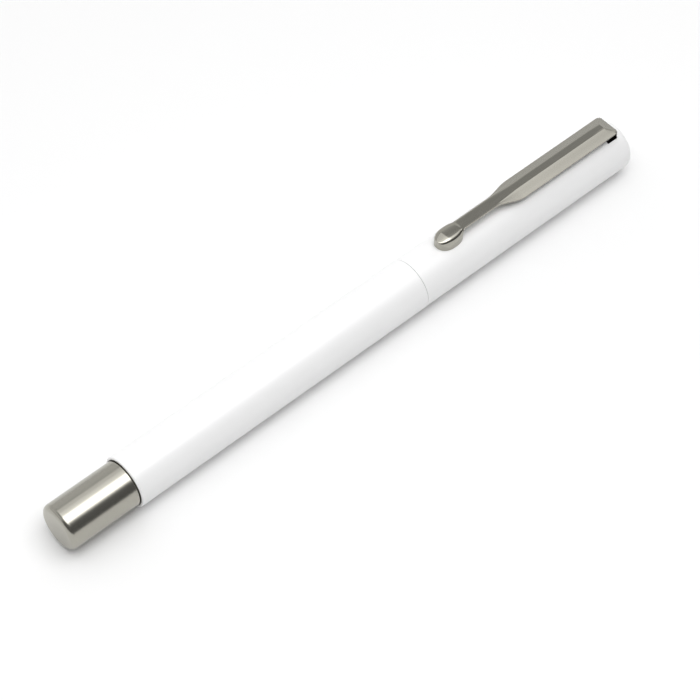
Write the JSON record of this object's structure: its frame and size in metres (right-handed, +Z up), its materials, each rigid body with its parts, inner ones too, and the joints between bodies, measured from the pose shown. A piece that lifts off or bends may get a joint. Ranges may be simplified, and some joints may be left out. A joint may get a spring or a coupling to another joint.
{
  "type": "counterfeit detector pen",
  "caption": "Slim capped pen with a steel tail cup and pocket clip, holding a fibre tip and an ink cartridge for marking banknotes.",
  "frame": {"origin": "below the middle of the closed pen, on the surface that it lies on", "axes": "+X along the pen towards the cap's closed end, +Z up through the clip, +Y across the pen"},
  "size_m": [0.1358, 0.0104, 0.0127],
  "materials": {
    "white_plastic": "polished moulded plastic",
    "section_plastic": "satin moulded plastic",
    "clip_steel": "brushed along its length",
    "cup_steel": "fine turned brushing",
    "trim_steel": "polished",
    "spring_steel": "bright drawn wire",
    "brass": "turned",
    "dark_plastic": "moulded",
    "liner_plastic": "translucent moulded plastic",
    "clear_plastic": "clear extruded tube",
    "film": "thin clear wrap",
    "seal_rubber": "moulded ring",
    "nib_fibre": "pressed fibre stained by the ink",
    "reservoir_fibre": "bundled fibre soaked in ink"
  },
  "bodies": {
    "writing_section": {"grip_section": "section_plastic", "trim_ring": "trim_steel", "nose_cone": "trim_steel", "nose_seal": "seal_rubber"},
    "snap_ring": {"snap_ring": "spring_steel"},
    "cap": {"cap_shell": "white_plastic", "clip_anchor": "dark_plastic", "inner_cap": "liner_plastic"},
    "clip": {"clip": "clip_steel"},
    "refill": {"cartridge_tube": "clear_plastic", "fibre_nib": "nib_fibre", "nib_holder": "section_plastic", "ink_reservoir": "reservoir_fibre", "reservoir_film": "film", "cartridge_plug": "dark_plastic"},
    "refill_spring": {"refill_spring": "spring_steel"},
    "spring_seat": {"spring_seat": "dark_plastic"},
    "barrel": {"barrel_tube": "white_plastic", "thread_bush": "brass", "tail_cup": "cup_steel", "tail_plug": "dark_plastic"}
  },
  "joints": [
    {"name": "cap_turn", "type": "hinge", "parent": "writing_section", "child": "snap_ring", "pos_m": [0.01865, 0, 0.0052], "axis": [1, 0, 0], "continuous": true},
    {"name": "cap_pull", "type": "slide", "parent": "snap_ring", "child": "cap", "axis": [1, 0, 0], "range_m": [0, 0.05]},
    {"name": "clip_flex", "type": "hinge", "parent": "cap", "child": "clip", "pos_m": [0.06557, 0, 0.0088], "axis": [0, 1, 0], "range_deg": [0, 4], "stiffness_Nm_per_rad": 1},
    {"name": "refill_press", "type": "slide", "parent": "writing_section", "child": "refill", "axis": [-1, 0, 0], "range_m": [0, 0.001], "stiffness_N_per_m": 400, "springref_m": -0.002, "deforming": ["refill_spring"]},
    {"name": "barrel_draw", "type": "slide", "parent": "writing_section", "child": "refill_spring", "axis": [-1, 0, 0], "range_m": [0, 0.06]},
    {"name": "barrel_back_off", "type": "slide", "parent": "refill_spring", "child": "spring_seat", "axis": [-1, 0, 0], "range_m": [0, 0.005]},
    {"name": "barrel_turn", "type": "hinge", "parent": "spring_seat", "child": "barrel", "pos_m": [-0.0679, 0, 0.0052], "axis": [-1, 0, 0], "range_deg": [0, 1800]}
  ],
  "couplings": [
    {"joint": "barrel_back_off", "follows": "barrel_turn", "m_per_rad": 0.00015915}
  ]
}
